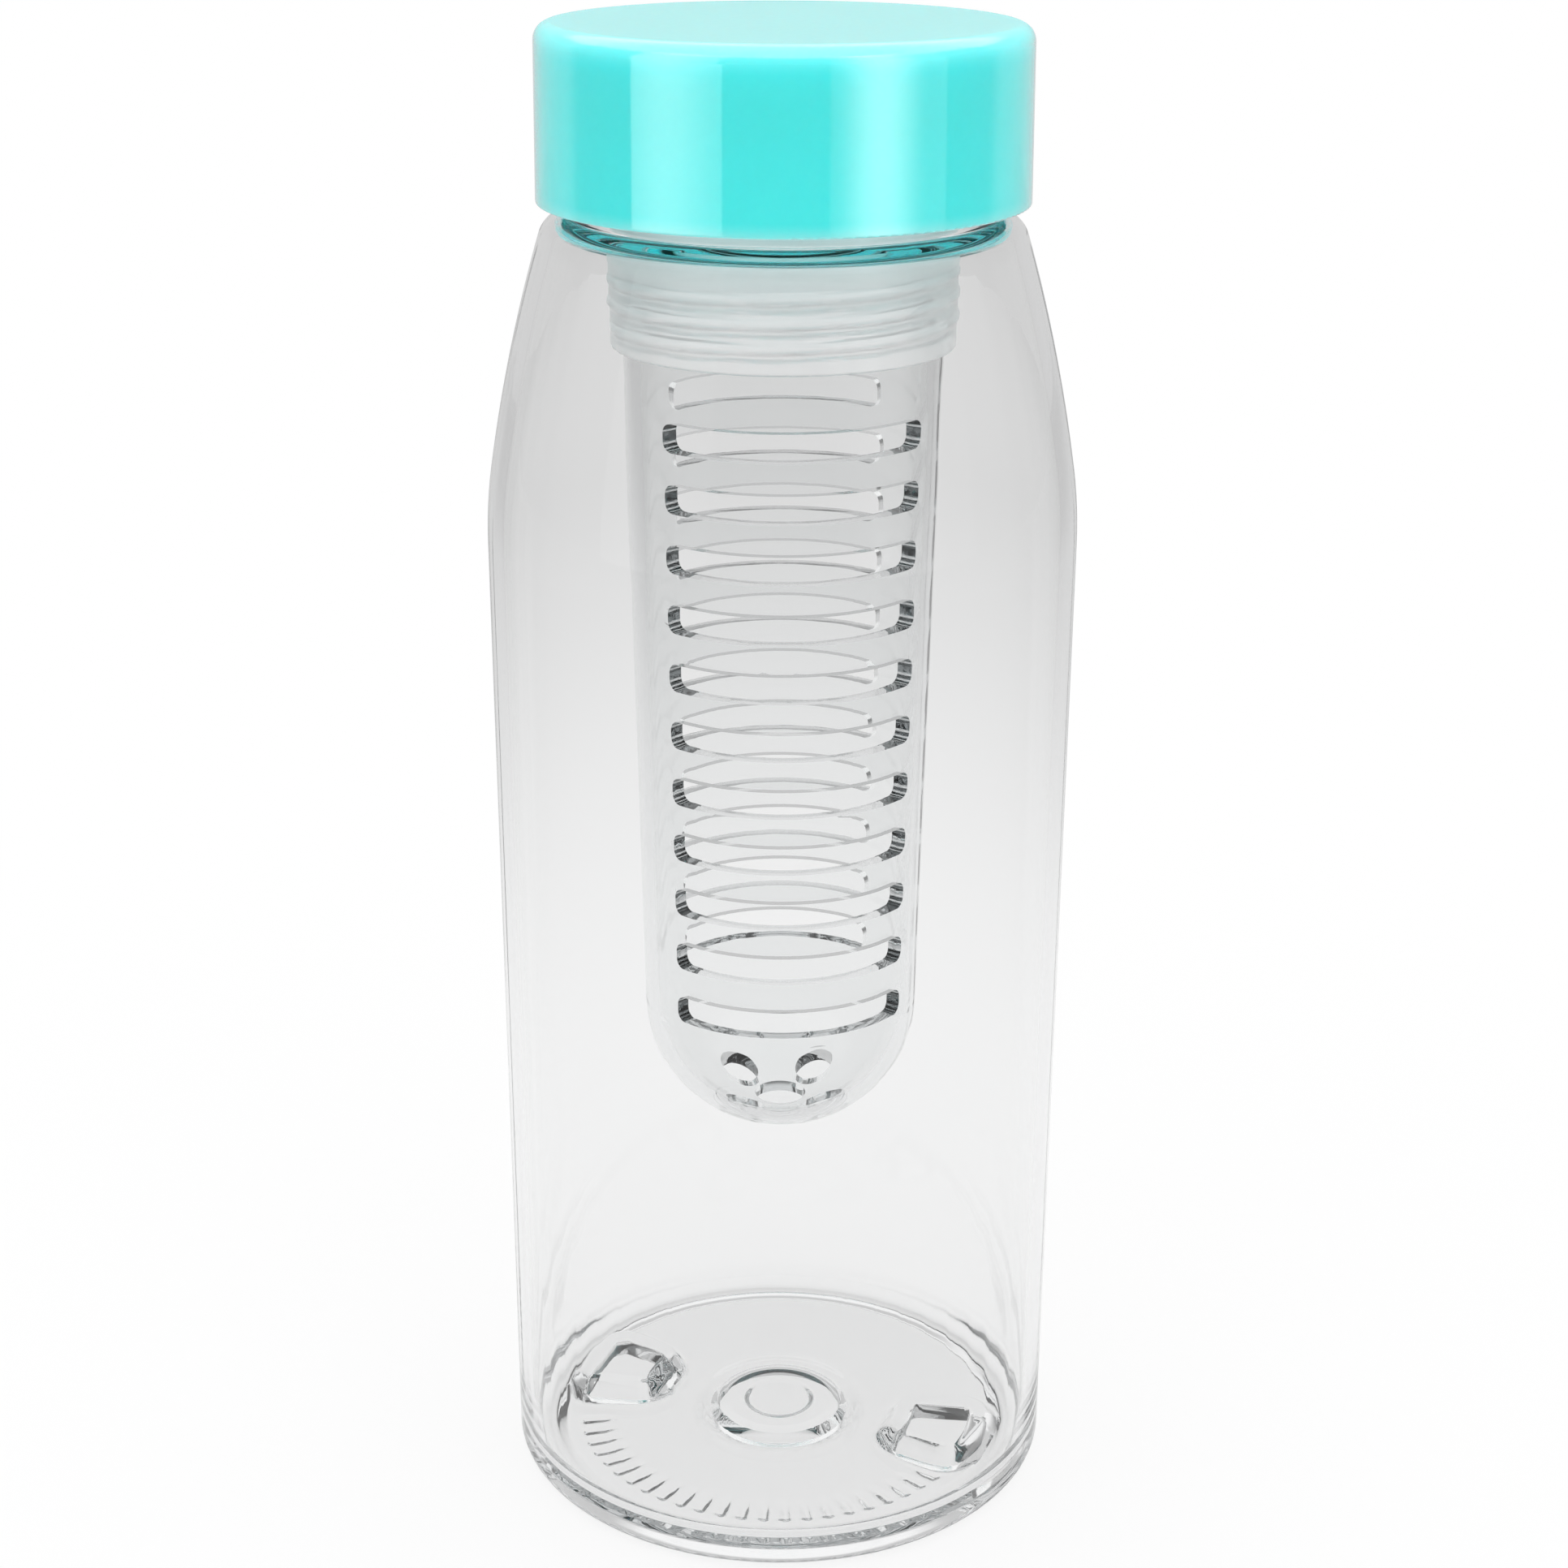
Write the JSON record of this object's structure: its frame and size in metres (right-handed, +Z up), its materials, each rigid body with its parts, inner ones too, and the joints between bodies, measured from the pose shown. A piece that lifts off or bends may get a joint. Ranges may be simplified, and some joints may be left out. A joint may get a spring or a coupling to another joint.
{
  "type": "fruit infuser water bottle",
  "caption": "Clear round water bottle with a turquoise screw lid and a slotted, domed infuser tube that screws into the lid.",
  "frame": {"origin": "on the bottle's axis at the surface it stands on", "axes": "+Z up along the bottle's axis, -Y towards the viewer of the slotted front, +X to that viewer's right"},
  "size_m": [0.0784, 0.0784, 0.2032],
  "materials": {
    "bottle_clear": "clear, polished",
    "cap_turquoise": "turquoise, glossy",
    "insert_translucent": "natural, translucent",
    "infuser_clear": "clear, polished",
    "seal_silicone": "pale silicone"
  },
  "bodies": {
    "bottle": {"bottle_body": "bottle_clear"},
    "neck_ring": {"neck_seal": "seal_silicone"},
    "lid": {"cap_shell": "cap_turquoise", "lid_insert": "insert_translucent"},
    "infuser_ring": {"infuser_seal": "seal_silicone"},
    "infuser": {"infuser_tube": "infuser_clear"}
  },
  "joints": [
    {"name": "lid_lift", "type": "slide", "parent": "bottle", "child": "neck_ring", "axis": [0, 0, 1], "range_m": [0, 0.0056]},
    {"name": "lid_turn", "type": "hinge", "parent": "neck_ring", "child": "lid", "pos_m": [0, 0, 0.19], "axis": [0, 0, 1], "range_deg": [0, 480.1]},
    {"name": "infuser_drop", "type": "slide", "parent": "lid", "child": "infuser_ring", "axis": [0, 0, -1], "range_m": [0, 0.00925]},
    {"name": "infuser_turn", "type": "hinge", "parent": "infuser_ring", "child": "infuser", "pos_m": [0, 0, 0.17], "axis": [0, 0, -1], "range_deg": [0, 1110.1]}
  ],
  "couplings": [
    {"joint": "lid_turn", "follows": "lid_lift", "rad_per_m": 1496},
    {"joint": "infuser_turn", "follows": "infuser_drop", "rad_per_m": 2094.4}
  ]
}
